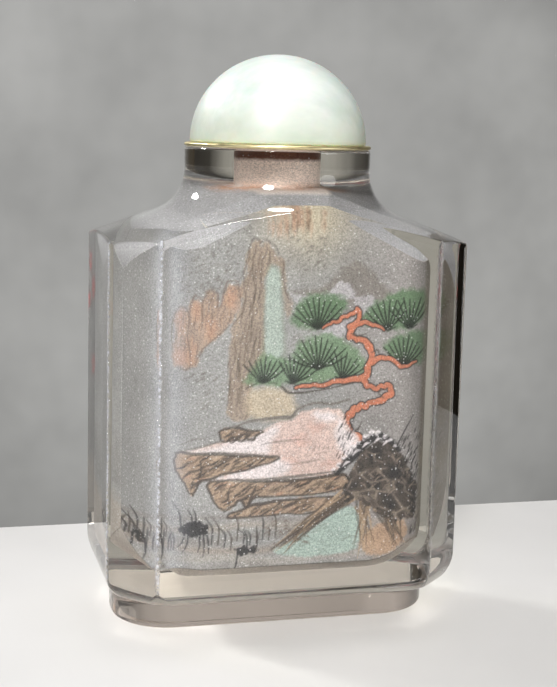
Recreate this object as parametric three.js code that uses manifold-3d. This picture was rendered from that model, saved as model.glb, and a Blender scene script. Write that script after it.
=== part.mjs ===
// Inside-painted snuff bottle of clear glass with a domed stopper, in millimetres, +Z up.
// The origin is the middle of the foot's underside. The two flat painted faces look along -Y and +Y.
import * as THREE from 'three';
import { mergeVertices } from 'three/addons/utils/BufferGeometryUtils.js';
import loadManifold from 'manifold-3d';

// Body: a ground slab of glass whose four upright corners are cut off at 45 degrees.
const BODY_WIDTH = 51;
const BODY_DEPTH = 32;
const CORNER_CHAMFER = 6;
const UNDERSIDE_Z = 5.2;
const LOWER_EDGE_HEIGHT = 4.2; // the rounded lower edge, from the underside to the flat faces
const LOWER_EDGE_INSET = 2.1;
const LOWER_EDGE_STEPS = 6;

// Foot: a low plinth with round ends, ground flat below.
const FOOT_WIDTH = 46.8;
const FOOT_DEPTH = 18.4;
const FOOT_CORNER_RADIUS = 8.2;
const FOOT_EDGE_ROUNDING = 0.7;

// Shoulder and neck: turned round the upright axis, in one line from the lip to the body's corners.
const NECK_RADIUS = 13.2;
const NECK_TOP_Z = 67.1;
const LIP_ROUNDING = 0.4;
const FLARE_RADIUS = 6.2; // the hollow curve from the neck to the shoulder
const FLARE_TOP_Z = 64;
const SHOULDER_SLOPE = THREE.MathUtils.degToRad(20.5);
const TURNED_RADIUS = 36; // beyond the body's corners, so the slab alone bounds the body there
const TURNED_SEGMENTS = 96;

// Hollow: ground out by hand through the neck, a little right of the middle, with its right-hand
// corners rounder than its left-hand ones. Its front and back walls are flat and its ends are round.
const PANEL_WALL = 3.8; // glass between the hollow and each painted face
const HOLLOW_WIDTH = 39.8;
const HOLLOW_CENTRE_X = 1;
const HOLLOW_END_LENGTH = 6; // how far each round end reaches along X
const HOLLOW_FLOOR_Z = 7.4;
const HOLLOW_TOP_Z = 60.6;
const HOLLOW_LEFT = { floorRadius: 4.5, shoulderZ: 53.4, shoulderRounding: 3 };
const HOLLOW_RIGHT = { floorRadius: 9.5, shoulderZ: 52.2, shoulderRounding: 5 };
const HOLLOW_EDGE_INSET = 1.6; // the slanting edge between a painted wall and the roof or the floor
const HOLLOW_EDGE_DEPTH = 3.5;
const BORE_RADIUS = 4.1;
const BORE_SEGMENTS = 48;

// Stopper: a polished cabochon on a thin gilt disc, with a short cork under it that fills the bore.
const SEAM = 0.05; // the glue line or rest line between two pieces
const COLLAR_RADIUS = 13.25;
const COLLAR_THICKNESS = 0.5;
const DOME_RADIUS = 12.5;
const DOME_HEIGHT = 12.4;
const CORK_RADIUS = 3.8;
const CORK_LENGTH = 1.8;
const STOPPER_SEGMENTS = 64;

const manifold = await loadManifold();
manifold.setup();

// Gives the closed solid that a three.js geometry bounds.
function solidOf(geometry) {
  const bare = geometry.clone();
  bare.deleteAttribute('normal');
  bare.deleteAttribute('uv');
  const merged = mergeVertices(bare, 1e-4);
  return new manifold.Manifold(new manifold.Mesh({
    numProp: 3,
    vertProperties: new Float32Array(merged.attributes.position.array),
    triVerts: new Uint32Array(merged.index.array),
  }));
}

// Gives the geometry of a solid's faces.
function geometryOf(solid) {
  const mesh = solid.getMesh();
  const geometry = new THREE.BufferGeometry();
  geometry.setAttribute('position', new THREE.BufferAttribute(mesh.vertProperties, 3));
  geometry.setIndex(new THREE.BufferAttribute(mesh.triVerts, 1));
  geometry.computeVertexNormals();
  return geometry;
}

// Turns a profile of radius and height round the upright axis. It starts and ends on the axis.
function turned(profile, segments) {
  return new THREE.LatheGeometry(profile, segments).rotateX(Math.PI / 2);
}

// Points on a circular arc in the plane of radius and height.
function arcPoints(centreRadius, centreZ, radius, startAngle, endAngle, steps) {
  return Array.from({ length: steps + 1 }, (_, i) => {
    const angle = THREE.MathUtils.lerp(startAngle, endAngle, i / steps);
    return new THREE.Vector2(
      centreRadius + radius * Math.cos(angle),
      centreZ + radius * Math.sin(angle),
    );
  });
}

// The slab's plan: a rectangle without its four corners.
function slabPlan() {
  const x = BODY_WIDTH / 2;
  const y = BODY_DEPTH / 2;
  const plan = new THREE.Shape();
  plan.moveTo(x - CORNER_CHAMFER, -y);
  plan.lineTo(x, CORNER_CHAMFER - y);
  plan.lineTo(x, y - CORNER_CHAMFER);
  plan.lineTo(x - CORNER_CHAMFER, y);
  plan.lineTo(CORNER_CHAMFER - x, y);
  plan.lineTo(-x, y - CORNER_CHAMFER);
  plan.lineTo(-x, CORNER_CHAMFER - y);
  plan.lineTo(CORNER_CHAMFER - x, -y);
  return plan;
}

// A rectangle with round corners, centred on the origin.
function roundedPlan(width, depth, radius) {
  const x = width / 2 - radius;
  const y = depth / 2 - radius;
  const quarter = Math.PI / 2;
  const plan = new THREE.Shape();
  plan.absarc(x, -y, radius, -quarter, 0);
  plan.absarc(x, y, radius, 0, quarter);
  plan.absarc(-x, y, radius, quarter, 2 * quarter);
  plan.absarc(-x, -y, radius, 2 * quarter, 3 * quarter);
  return plan;
}

// The slab, taller than the shoulder, with its lower edge rounded in to the underside.
function slab() {
  return new THREE.ExtrudeGeometry(slabPlan(), {
    depth: NECK_TOP_Z - UNDERSIDE_Z,
    bevelThickness: LOWER_EDGE_HEIGHT,
    bevelSize: LOWER_EDGE_INSET,
    bevelOffset: -LOWER_EDGE_INSET,
    bevelSegments: LOWER_EDGE_STEPS,
  }).translate(0, 0, UNDERSIDE_Z + LOWER_EDGE_HEIGHT);
}

// The neck, the flare and the shoulder's slope, down to below the foot.
function turnedShoulder() {
  const quarter = Math.PI / 2;
  const flareCentre = NECK_RADIUS + FLARE_RADIUS;
  const flare = arcPoints(
    flareCentre, FLARE_TOP_Z, FLARE_RADIUS, 3 * quarter - SHOULDER_SLOPE, 2 * quarter, 10,
  );
  const lip = arcPoints(
    NECK_RADIUS - LIP_ROUNDING, NECK_TOP_Z - LIP_ROUNDING, LIP_ROUNDING, 0, quarter, 3,
  );
  const slopeEndZ = flare[0].y - (TURNED_RADIUS - flare[0].x) * Math.tan(SHOULDER_SLOPE);
  const profile = [
    new THREE.Vector2(0, -1),
    new THREE.Vector2(TURNED_RADIUS, -1),
    new THREE.Vector2(TURNED_RADIUS, slopeEndZ),
    ...flare,
    ...lip,
    new THREE.Vector2(0, NECK_TOP_Z),
  ];
  return turned(profile, TURNED_SEGMENTS);
}

// The foot, which reaches up into the body above its underside.
function foot() {
  const height = UNDERSIDE_Z + LOWER_EDGE_HEIGHT / 2;
  return new THREE.ExtrudeGeometry(roundedPlan(FOOT_WIDTH, FOOT_DEPTH, FOOT_CORNER_RADIUS), {
    depth: height - 2 * FOOT_EDGE_ROUNDING,
    bevelThickness: FOOT_EDGE_ROUNDING,
    bevelSize: FOOT_EDGE_ROUNDING,
    bevelOffset: -FOOT_EDGE_ROUNDING,
    bevelSegments: 3,
    curveSegments: 10,
  }).translate(0, 0, FOOT_EDGE_ROUNDING);
}

// The hollow seen from the front: a flat floor with round corners, upright sides, and two slopes
// that rise to the bore.
function hollowOutline() {
  const left = HOLLOW_CENTRE_X - HOLLOW_WIDTH / 2;
  const right = HOLLOW_CENTRE_X + HOLLOW_WIDTH / 2;
  const turn = Math.PI / 2;
  const { floorRadius: leftFloor, shoulderZ: leftZ, shoulderRounding: leftRounding } = HOLLOW_LEFT;
  const { floorRadius: rightFloor, shoulderZ: rightZ, shoulderRounding: rightRounding } = HOLLOW_RIGHT;
  const leftSlope = (HOLLOW_TOP_Z - leftZ) / (-BORE_RADIUS - left);
  const rightSlope = (HOLLOW_TOP_Z - rightZ) / (right - BORE_RADIUS);
  const outline = new THREE.Shape();
  outline.absarc(right - rightFloor, HOLLOW_FLOOR_Z + rightFloor, rightFloor, -turn, 0);
  outline.lineTo(right, rightZ - rightRounding);
  outline.quadraticCurveTo(right, rightZ, right - rightRounding, rightZ + rightRounding * rightSlope);
  outline.lineTo(BORE_RADIUS, HOLLOW_TOP_Z);
  outline.lineTo(-BORE_RADIUS, HOLLOW_TOP_Z);
  outline.lineTo(left + leftRounding, leftZ + leftRounding * leftSlope);
  outline.quadraticCurveTo(left, leftZ, left, leftZ - leftRounding);
  outline.absarc(left + leftFloor, HOLLOW_FLOOR_Z + leftFloor, leftFloor, 2 * turn, 3 * turn);
  return outline;
}

// The hollow seen from above: flat front and back walls between two half ellipses.
function hollowPlan() {
  const reach = HOLLOW_WIDTH / 2 - HOLLOW_END_LENGTH;
  const halfDepth = BODY_DEPTH / 2 - PANEL_WALL;
  const turn = Math.PI / 2;
  const plan = new THREE.Shape();
  plan.absellipse(HOLLOW_CENTRE_X + reach, 0, HOLLOW_END_LENGTH, halfDepth, -turn, turn);
  plan.absellipse(HOLLOW_CENTRE_X - reach, 0, HOLLOW_END_LENGTH, halfDepth, turn, 3 * turn);
  return plan;
}

// The hollow: what its outline, carried from the front wall to the back wall, shares with its plan,
// carried upwards.
function hollow() {
  const depth = BODY_DEPTH - 2 * PANEL_WALL;
  const fromFront = new THREE.ExtrudeGeometry(hollowOutline(), {
    depth: depth - 2 * HOLLOW_EDGE_DEPTH,
    bevelThickness: HOLLOW_EDGE_DEPTH,
    bevelSize: HOLLOW_EDGE_INSET,
    bevelOffset: -HOLLOW_EDGE_INSET,
    bevelSegments: 1,
    curveSegments: 10,
  }).rotateX(Math.PI / 2).translate(0, depth / 2 - HOLLOW_EDGE_DEPTH, 0);
  const fromAbove = new THREE.ExtrudeGeometry(hollowPlan(), {
    depth: NECK_TOP_Z,
    bevelEnabled: false,
    curveSegments: 16,
  });
  return solidOf(fromFront).intersect(solidOf(fromAbove));
}

// The bore down the neck into the hollow.
function bore() {
  const bottom = HOLLOW_TOP_Z - 2 * BORE_RADIUS;
  const height = NECK_TOP_Z + 1 - bottom;
  return new THREE.CylinderGeometry(BORE_RADIUS, BORE_RADIUS, height, BORE_SEGMENTS)
    .rotateX(Math.PI / 2)
    .translate(0, 0, bottom + height / 2);
}

function bottleGeometry() {
  return geometryOf(
    solidOf(slab())
      .intersect(solidOf(turnedShoulder()))
      .add(solidOf(foot()))
      .subtract(hollow())
      .subtract(solidOf(bore())),
  );
}

// The cabochon: a quarter ellipse turned into a dome, flat below.
function domeGeometry() {
  const steps = 16;
  const profile = [new THREE.Vector2(0, 0)];
  for (let i = 0; i <= steps; i += 1) {
    const angle = (i / steps) * (Math.PI / 2);
    profile.push(new THREE.Vector2(DOME_RADIUS * Math.cos(angle), DOME_HEIGHT * Math.sin(angle)));
  }
  profile[steps + 1].x = 0;
  return turned(profile, STOPPER_SEGMENTS);
}

// The gilt disc, with a half-round rim.
function collarGeometry() {
  const rim = COLLAR_THICKNESS / 2;
  const profile = [
    new THREE.Vector2(0, 0),
    ...arcPoints(COLLAR_RADIUS - rim, rim, rim, -Math.PI / 2, Math.PI / 2, 4),
    new THREE.Vector2(0, COLLAR_THICKNESS),
  ];
  return turned(profile, STOPPER_SEGMENTS);
}

// The cork, a plain plug.
function corkGeometry() {
  return new THREE.CylinderGeometry(CORK_RADIUS, CORK_RADIUS, CORK_LENGTH, BORE_SEGMENTS)
    .rotateX(Math.PI / 2)
    .translate(0, 0, CORK_LENGTH / 2);
}

const glass = new THREE.MeshStandardMaterial({
  color: 0xd9ddd8, roughness: 0.05, metalness: 0, transparent: true, opacity: 0.4,
});
const paleStone = new THREE.MeshStandardMaterial({ color: 0xe4efe0, roughness: 0.18, metalness: 0 });
const gilt = new THREE.MeshStandardMaterial({ color: 0xcaa258, roughness: 0.3, metalness: 1 });
const corkBrown = new THREE.MeshStandardMaterial({ color: 0x7a4636, roughness: 0.85, metalness: 0 });

function piece(name, geometry, material, z) {
  const mesh = new THREE.Mesh(geometry, material);
  mesh.name = name;
  mesh.position.z = z;
  return mesh;
}

const collarZ = NECK_TOP_Z + SEAM;
const stopper = new THREE.Group();
stopper.add(
  piece('stopper_cork', corkGeometry(), corkBrown, collarZ - SEAM - CORK_LENGTH),
  piece('stopper_collar', collarGeometry(), gilt, collarZ),
  piece('stopper_dome', domeGeometry(), paleStone, collarZ + COLLAR_THICKNESS + SEAM),
);

const snuffBottle = new THREE.Group();
snuffBottle.add(piece('bottle', bottleGeometry(), glass, 0), stopper);

export default snuffBottle;
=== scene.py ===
"""An inside-painted glass snuff bottle with a cabochon stopper, on a plain stage. Metres, +Z up."""
import math

import bpy
import numpy as np
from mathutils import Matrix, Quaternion, Vector


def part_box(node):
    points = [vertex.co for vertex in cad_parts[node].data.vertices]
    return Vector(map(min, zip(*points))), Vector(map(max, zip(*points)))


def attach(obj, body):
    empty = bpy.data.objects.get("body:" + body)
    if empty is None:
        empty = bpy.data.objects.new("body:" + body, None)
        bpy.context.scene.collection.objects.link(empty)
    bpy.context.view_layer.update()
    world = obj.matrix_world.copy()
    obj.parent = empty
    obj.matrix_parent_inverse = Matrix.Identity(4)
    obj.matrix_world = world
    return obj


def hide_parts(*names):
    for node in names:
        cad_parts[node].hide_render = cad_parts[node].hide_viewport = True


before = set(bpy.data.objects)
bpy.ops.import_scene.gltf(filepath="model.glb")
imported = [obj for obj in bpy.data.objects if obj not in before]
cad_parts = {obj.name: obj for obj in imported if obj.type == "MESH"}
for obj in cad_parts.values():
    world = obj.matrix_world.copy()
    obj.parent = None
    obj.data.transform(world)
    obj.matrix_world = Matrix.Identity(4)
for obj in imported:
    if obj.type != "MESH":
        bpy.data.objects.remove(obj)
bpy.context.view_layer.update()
scene = bpy.context.scene

# The view: close in front of the bottle and to its left, level with the neck, with a long lens.
# The camera leans a little, so the bottle stands a little clockwise in the view.
VIEW_FROM = Vector((-0.0520, -0.1942, 0.0708))
VIEW_TO = Vector((-0.0001, -0.0036, 0.0395))
VIEW_ROLL = 0.026
VIEW_LENS = 73.4

camera_data = bpy.data.cameras.new("camera")
camera_data.lens = VIEW_LENS
camera_data.clip_start = 0.01
camera = bpy.data.objects.new("camera", camera_data)
camera.location = VIEW_FROM
camera.rotation_mode = "QUATERNION"
camera.rotation_quaternion = (VIEW_TO - VIEW_FROM).to_track_quat("-Z", "Y") @ Quaternion(
    (0, 0, 1), VIEW_ROLL
)
scene.collection.objects.link(camera)
scene.camera = camera


# The bottle: one block of clear glass, a slab with four chamfered corners and a rounded lower edge
# on a low foot, with its shoulder, flare and neck turned round the upright axis. Every outer face
# is ground flat and polished, and the edges between them are only just broken.
bottle_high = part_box("bottle")[1]
HALF_WIDTH = bottle_high[0]
HALF_DEPTH = bottle_high[1]
NECK_TOP = bottle_high[2]
CORNER_CHAMFER = 0.006
BROKEN_EDGE = 0.00038
UNDERSIDE = 0.0052
LOWER_EDGE_HEIGHT = 0.0042
LOWER_EDGE_INSET = 0.0021
LOWER_CORNER_ROUNDING = 0.007
NECK_RADIUS = 0.0132
FLARE_RADIUS = 0.0062
FLARE_TOP = 0.064
SHOULDER_SLOPE = math.radians(20.5)
FLARE_SWEEP = math.pi / 2 - SHOULDER_SLOPE
LIP_ROUNDING = 0.0004
FOOT_HALF_WIDTH = 0.0234
FOOT_HALF_DEPTH = 0.0092
FOOT_CORNER = 0.0082
FOOT_EDGE = 0.0007
UNDERSIDE_INSETS = (0.0075, 0.003)
LIP_TOP_RADII = (0.009, 0.006)


def slab_loop(inset, rounding):
    """The slab's plan, one row for each inset: eight straight sides, each moved in by the inset,
    and an arc of the given rounding at each corner, counter-clockwise from the +X side. A side has
    one point close to each of its ends, so that it shades flat up to the arc."""
    inset, rounding = np.atleast_1d(inset)[:, None], np.atleast_1d(rounding)[:, None]
    chamfer_reach = (HALF_WIDTH + HALF_DEPTH - CORNER_CHAMFER) / math.sqrt(2)
    reach = [HALF_WIDTH, chamfer_reach, HALF_DEPTH, chamfer_reach] * 2
    steps = [20, 8, 40, 8] * 2
    eighth = math.pi / 4
    corners = []
    for k in range(8):
        here, ahead = reach[k] - inset - rounding, reach[(k + 1) % 8] - inset - rounding
        along = (ahead - here * math.cos(eighth)) / math.sin(eighth)
        cos, sin = math.cos(k * eighth), math.sin(k * eighth)
        corners.append((here * cos - along * sin, here * sin + along * cos))
    xs, ys = [], []
    for k in range(8):
        (x0, y0), (x1, y1) = corners[k - 1], corners[k]
        share = np.concatenate([[0.006], np.linspace(0, 1, steps[k])[1:-1], [0.994]])
        xs.append(x0 + (x1 - x0) * share + rounding * math.cos(k * eighth))
        ys.append(y0 + (y1 - y0) * share + rounding * math.sin(k * eighth))
        arc = np.linspace(k * eighth, (k + 1) * eighth, 5)
        xs.append(x1 + rounding * np.cos(arc))
        ys.append(y1 + rounding * np.sin(arc))
    return np.concatenate(xs, 1), np.concatenate(ys, 1)


def shoulder_profile(length):
    """Radius and height at a length down the profile from the neck: the flare's arc, which starts
    upright, and then the straight slope."""
    angle = np.clip(length / FLARE_RADIUS, 0, FLARE_SWEEP)
    past = np.maximum(length - FLARE_RADIUS * FLARE_SWEEP, 0)
    radius = NECK_RADIUS + FLARE_RADIUS * (1 - np.cos(angle)) + past * math.cos(SHOULDER_SLOPE)
    height = FLARE_TOP - FLARE_RADIUS * np.sin(angle) - past * math.sin(SHOULDER_SLOPE)
    return radius, height


def profile_length(radius):
    """The inverse of the profile: its length where it reaches a radius that lies on the slope or on
    the arc."""
    arc_end = NECK_RADIUS + FLARE_RADIUS * (1 - math.cos(FLARE_SWEEP))
    rise = (np.minimum(radius, arc_end) - NECK_RADIUS) / FLARE_RADIUS
    on_slope = np.maximum(radius - arc_end, 0) / math.cos(SHOULDER_SLOPE)
    return FLARE_RADIUS * np.arccos(1 - rise) + on_slope


def foot_reach(cos, sin, inset):
    """How far the foot's plan reaches in each direction: a rectangle with round corners, moved in
    by the inset. A ray meets a long side, a short side or the corner's circle."""
    cos, sin = np.abs(cos), np.abs(sin)
    corner_x, corner_y = FOOT_HALF_WIDTH - FOOT_CORNER, FOOT_HALF_DEPTH - FOOT_CORNER
    radius = FOOT_CORNER - inset
    middle = cos * corner_x + sin * corner_y
    to_circle = middle + np.sqrt(np.maximum(middle**2 - corner_x**2 - corner_y**2 + radius**2, 0))
    to_long = (FOOT_HALF_DEPTH - inset) / np.maximum(sin, 1e-9)
    to_short = (FOOT_HALF_WIDTH - inset) / np.maximum(cos, 1e-9)
    on_long, on_short = to_long * cos <= corner_x, to_short * sin <= corner_y
    return np.where(on_long, to_long, np.where(on_short, to_short, to_circle))


def bottle_rows():
    """The bottle's outside as loops, from the foot's underside up to the lip. Each point keeps its
    direction from the axis, so a shoulder loop is the slab's edge drawn in along the profile."""
    slab_x, slab_y = (side[0] for side in slab_loop(0.0, BROKEN_EDGE))
    slab_radius = np.hypot(slab_x, slab_y)
    cos, sin = slab_x / slab_radius, slab_y / slab_radius
    level = np.ones_like(cos)
    rows = []
    foot = [(inset, 0) for inset in (*UNDERSIDE_INSETS, FOOT_EDGE * 1.3)]
    foot += [
        (FOOT_EDGE * (1 - math.sin(turn)), FOOT_EDGE * (1 - math.cos(turn)))
        for turn in np.linspace(0, math.pi / 2, 5)
    ]
    foot += [(0, z) for z in (FOOT_EDGE * 1.3, UNDERSIDE / 2, UNDERSIDE * 0.98, UNDERSIDE)]
    for inset, z in foot:
        reach = foot_reach(cos, sin, inset)
        rows.append((reach * cos, reach * sin, level * z))
    turn = np.linspace(0, math.pi / 2, 12)
    share = 1 - np.sin(turn)
    rounding = BROKEN_EDGE + (LOWER_CORNER_ROUNDING - BROKEN_EDGE) * share
    xs, ys = slab_loop(LOWER_EDGE_INSET * share, rounding)
    zs = UNDERSIDE + LOWER_EDGE_HEIGHT * (1 - np.cos(turn))
    rows += [(x, y, level * z) for x, y, z in zip(xs, ys, zs)]

    edge_length = profile_length(slab_radius)
    edge_height = shoulder_profile(edge_length)[1]
    bottom, top = UNDERSIDE + LOWER_EDGE_HEIGHT, edge_height - BROKEN_EDGE
    for share in (0.01, 0.3, 0.65, 0.985, 1.0):
        rows.append((slab_x, slab_y, bottom + (top - bottom) * share))
    shoulder_radius, shoulder_height = shoulder_profile(edge_length - BROKEN_EDGE)
    for t in (0.25, 0.5, 0.75, 1.0):
        low, high = 1 - t**2, t**2
        radius = low * slab_radius + high * shoulder_radius
        z = (1 - t) ** 2 * top + 2 * t * (1 - t) * edge_height + high * shoulder_height
        rows.append((radius * cos, radius * sin, z))
    for share in np.concatenate([[0.99], np.linspace(1, 0, 30)[1:-1], [0.01, 0]]):
        radius, z = shoulder_profile((edge_length - BROKEN_EDGE) * share)
        rows.append((radius * cos, radius * sin, z))
    lip = [(NECK_RADIUS, z) for z in (FLARE_TOP + 0.0006, NECK_TOP - 0.0012, NECK_TOP - 0.0005)]
    lip += [
        (NECK_RADIUS - LIP_ROUNDING * (1 - math.cos(turn)),
         NECK_TOP - LIP_ROUNDING * (1 - math.sin(turn)))
        for turn in np.linspace(0, math.pi / 2, 5)
    ]
    lip += [(radius, NECK_TOP) for radius in (NECK_RADIUS - LIP_ROUNDING * 1.4, *LIP_TOP_RADII)]
    rows += [(radius * cos, radius * sin, level * z) for radius, z in lip]
    return np.array([np.stack(row, -1) for row in rows])


def new_piece(name, points, faces):
    """A mesh object from points and faces, smooth, in place and unturned."""
    mesh = bpy.data.meshes.new(name)
    mesh.from_pydata(points.tolist(), [], faces)
    mesh.polygons.foreach_set("use_smooth", np.ones(len(mesh.polygons), bool))
    mesh.update()
    piece = bpy.data.objects.new(name, mesh)
    scene.collection.objects.link(piece)
    return piece


def closed_grid(name, rows, first_pole, last_pole):
    """A closed mesh from rows of loops: quads between neighbouring rows, and a fan of triangles
    from each end row to its pole. Rows go up and loops counter-clockwise, so faces point out."""
    count, around = rows.shape[:2]
    here = np.arange(count * around).reshape(count, around)
    beside = np.roll(here, -1, 1)
    quads = np.stack([here[:-1], beside[:-1], beside[1:], here[1:]], -1).reshape(-1, 4)
    poles = np.full(around, count * around)
    low_fan = np.stack([poles, beside[0], here[0]], -1)
    high_fan = np.stack([poles + 1, here[-1], beside[-1]], -1)
    points = np.concatenate([rows.reshape(-1, 3), [first_pole], [last_pole]])
    return new_piece(name, points, quads.tolist() + low_fan.tolist() + high_fan.tolist())


bottle = closed_grid("clear_glass_bottle", bottle_rows(), (0, 0, 0), (0, 0, NECK_TOP))

# The hollow: ground out by hand through the neck, a little right of the middle. Its front and back
# walls are flat, its ends are half ellipses, and its roof and floor meet the flat walls in a
# slanting edge. Its right-hand corners are rounder than its left-hand ones.
HOLLOW_HALF_DEPTH = 0.0122
HOLLOW_SIDE = 0.0199
HOLLOW_CENTRE = 0.001
HOLLOW_END = 0.006
HOLLOW_FLOOR = 0.0083
HOLLOW_TOP = 0.0606
HOLLOW_MIDDLE = (HOLLOW_FLOOR + HOLLOW_TOP) / 2
LEFT_CORNERS = {"floor_radius": 0.0052, "shoulder": 0.0534, "rounding": 0.003}
RIGHT_CORNERS = {"floor_radius": 0.0095, "shoulder": 0.0522, "rounding": 0.005}
EDGE_INSET = 0.0016
EDGE_DEPTH = 0.0035
BORE_RADIUS = 0.0041


def half_outline(way, floor_radius, shoulder, rounding, grow):
    """One half of the hollow seen from the front, as two lines of x and z that start in the middle:
    the floor with its quarter circle, and the roof's slope with its rounding, a quadratic curve.
    All of it is grown outwards by an amount. Way is 1 for the right half and -1 for the left."""
    bare_side = HOLLOW_SIDE + way * HOLLOW_CENTRE
    slope = (HOLLOW_TOP - shoulder) / (bare_side - BORE_RADIUS)
    side, floor, top = bare_side + grow, HOLLOW_FLOOR - grow, HOLLOW_TOP + grow
    radius = floor_radius + grow
    turn = np.linspace(0, math.pi / 2, 60)
    below = [side - radius + radius * np.sin(turn), floor + radius * (1 - np.cos(turn))]
    eave = np.array((side, top - slope * (side - BORE_RADIUS)))
    t = np.linspace(0, 1, 60)[:, None]
    inner, outer = eave + (-rounding, rounding * slope), eave - (0, rounding)
    above = (1 - t) ** 2 * inner + 2 * t * (1 - t) * eave + t**2 * outer
    below = np.concatenate([[(0, floor)], np.stack(below, 1)])
    above = np.concatenate([[(0, top), (BORE_RADIUS, top)], above])
    return below * (way, 1), above * (way, 1)


def hollow_heights(x, y, grow):
    """The floor's and the roof's height over a place in plan. Close to a flat wall the outline is
    drawn in, by EDGE_INSET over the last EDGE_DEPTH, as a shrinking about the hollow's middle."""
    to_wall = np.clip((np.abs(y) - HOLLOW_HALF_DEPTH - grow + EDGE_DEPTH) / EDGE_DEPTH, 0, 1)
    pull = EDGE_INSET * to_wall
    sides = [(-1, LEFT_CORNERS), (1, RIGHT_CORNERS)]
    halves = [half_outline(way, grow=grow, **corners) for way, corners in sides]
    place = HOLLOW_CENTRE + (x - HOLLOW_CENTRE) * HOLLOW_SIDE / (HOLLOW_SIDE - pull)
    shrink = 1 - pull / (HOLLOW_TOP - HOLLOW_MIDDLE)
    heights = []
    for left, right in zip(*halves):
        outline = np.concatenate([left[:0:-1], right])
        height = np.interp(place, outline[:, 0], outline[:, 1])
        heights.append(HOLLOW_MIDDLE + (height - HOLLOW_MIDDLE) * shrink)
    return heights


def hollow_plan(flat_steps, end_steps, grow):
    """The hollow's plan, counter-clockwise from the left end of the front wall: the straight front,
    half an ellipse, the straight back, half an ellipse."""
    reach = HOLLOW_SIDE - HOLLOW_END
    depth = HOLLOW_HALF_DEPTH + grow
    flat = np.linspace(-reach, reach, flat_steps + 1)[:-1]
    turn = np.linspace(-math.pi / 2, math.pi / 2, end_steps + 1)[:-1]
    end_x, end_y = reach + (HOLLOW_END + grow) * np.cos(turn), depth * np.sin(turn)
    front = np.full(flat_steps, -depth)
    x = np.concatenate([flat, end_x, -flat, -end_x])
    return x + HOLLOW_CENTRE, np.concatenate([front, end_y, -front, -end_y])


def hollow_rows(grow, bore_top):
    """The hollow and its bore as loops, from the middle of the floor over the walls and the roof
    and up the bore. A floor loop is the plan shrunk to the middle, a roof loop the plan drawn in to
    the bore, and both take their heights from the outline."""
    plan_x, plan_y = hollow_plan(96, 40, grow)
    rows = []
    edge = 1 - EDGE_DEPTH / HOLLOW_HALF_DEPTH
    quarter = np.linspace(0, math.pi / 2, 12)
    shares = [np.linspace(0.15, edge, 8), edge + (1 - edge) * np.sin(quarter[1:])]
    for share in np.concatenate(shares):
        x, y = HOLLOW_CENTRE + (plan_x - HOLLOW_CENTRE) * share, plan_y * share
        rows.append((x, y, hollow_heights(x, y, grow)[0]))
    low, high = hollow_heights(plan_x, plan_y, grow)
    for share in np.linspace(0, 1, 40)[1:]:
        rows.append((plan_x, plan_y, low + (high - low) * share))
    angle = np.arctan2(plan_y, plan_x)
    bore_x, bore_y = (BORE_RADIUS + grow) * np.cos(angle), (BORE_RADIUS + grow) * np.sin(angle)
    shares = [edge + (1 - edge) * np.cos(quarter[1:-1]), np.linspace(edge, 0, 16)]
    for share in np.concatenate(shares):
        x, y = bore_x + (plan_x - bore_x) * share, bore_y + (plan_y - bore_y) * share
        rows.append((x, y, hollow_heights(x, y, grow)[1]))
    for z in np.linspace(HOLLOW_TOP + grow, bore_top, 8)[1:]:
        rows.append((bore_x, bore_y, np.full_like(angle, z)))
    return np.array([np.stack(row, -1) for row in rows])


ABOVE_NECK = NECK_TOP + 0.0005
CREASE = math.radians(32)
hollow = closed_grid(
    "hollow", hollow_rows(0.0, ABOVE_NECK), (HOLLOW_CENTRE, 0, HOLLOW_FLOOR), (0, 0, ABOVE_NECK)
)
grinding = bottle.modifiers.new("grinding", "BOOLEAN")
grinding.operation = "DIFFERENCE"
grinding.solver = "EXACT"
grinding.object = hollow
graph = bpy.context.evaluated_depsgraph_get()
ground_out = bpy.data.meshes.new_from_object(bottle.evaluated_get(graph))
bottle.modifiers.clear()
bottle.data = ground_out
bottle.data.set_sharp_from_angle(angle=CREASE)
bpy.data.objects.remove(hollow)


class Tone:
    """A value in a finish's node tree. Sums and products of it add Math nodes."""

    def __init__(self, finish, socket):
        self.finish = finish
        self.socket = socket

    def math(self, operation, first, second):
        return self.finish.add("Math", {"operation": operation}, {0: first, 1: second})

    def __add__(self, other):
        return self.math("ADD", self, other)

    def __radd__(self, other):
        return self.math("ADD", other, self)

    def __mul__(self, other):
        return self.math("MULTIPLY", self, other)

    def __rmul__(self, other):
        return self.math("MULTIPLY", other, self)


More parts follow.
